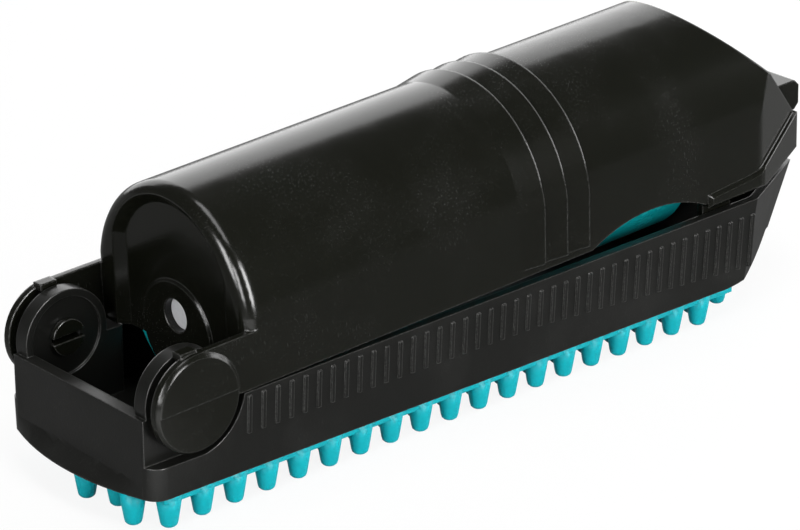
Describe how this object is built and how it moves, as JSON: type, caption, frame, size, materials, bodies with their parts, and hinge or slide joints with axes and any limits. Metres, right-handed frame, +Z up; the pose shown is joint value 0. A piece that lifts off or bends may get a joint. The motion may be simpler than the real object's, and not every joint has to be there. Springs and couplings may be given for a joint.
{
  "type": "folding lint roller with brush base",
  "caption": "Folding pet-hair lint roller: an arched cover carrying a sticky roller hinges over a ribbed tray with a nubbed rubber brush pad beneath.",
  "frame": {"origin": "on the ground plane under the middle of the bounding box, at the nub tips", "axes": "+X runs from the hinge end to the grip tab, +Z up, +Y completes the right-handed frame"},
  "size_m": [0.1793, 0.0458, 0.0607],
  "materials": {
    "base_black": "satin moulded black plastic",
    "cover_black": "semi-gloss black plastic with fine scratches",
    "nub_teal": "smooth moulded rubber",
    "sleeve_teal": "tacky smooth silicone",
    "core_white": "plain moulded plastic",
    "cap_white": "plain moulded plastic"
  },
  "bodies": {
    "base": {"handle_base": "base_black", "brush_pad": "nub_teal"},
    "cover": {"roller_cover": "cover_black"},
    "roller": {"roller_core": "core_white", "roller_end_cap": "cap_white", "roller_sleeve": "sleeve_teal"}
  },
  "joints": [
    {"name": "cover_hinge", "type": "hinge", "parent": "base", "child": "cover", "pos_m": [-0.07702, 0, 0.02344], "axis": [0, -1, 0], "range_deg": [0, 177]},
    {"name": "roller_spin", "type": "hinge", "parent": "cover", "child": "roller", "pos_m": [-0.07723, 0, 0.02854], "axis": [0.9992, 0, 0.0401], "continuous": true}
  ]
}
